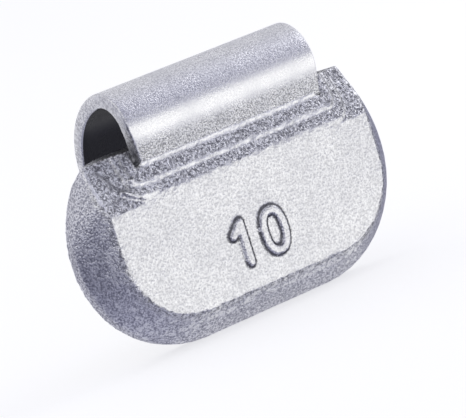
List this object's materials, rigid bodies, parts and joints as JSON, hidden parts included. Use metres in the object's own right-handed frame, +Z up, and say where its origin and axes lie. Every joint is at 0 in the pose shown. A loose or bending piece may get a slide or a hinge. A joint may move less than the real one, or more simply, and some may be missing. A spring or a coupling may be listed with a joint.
{
  "type": "wheel balance weight",
  "caption": "Clip-on wheel balance weight: a cast metal weight with bevelled sides and sloped shoulders, on a bent steel hook that grips the rim flange.",
  "frame": {"origin": "on the flat back that bears on the rim flange, at mid-length, level with the top edge of the front face", "axes": "+X along the weight, +Y from the front face through the flat back towards the rim, +Z up towards the hook"},
  "size_m": [0.028, 0.0089, 0.0192],
  "materials": {
    "cast_zinc": "die-cast zinc, blasted and silver coated, fine grain",
    "spring_steel": "zinc flake coated spring steel, satin"
  },
  "bodies": {
    "root": {"cast_body": "cast_zinc", "spring_clip": "spring_steel"}
  },
  "joints": []
}
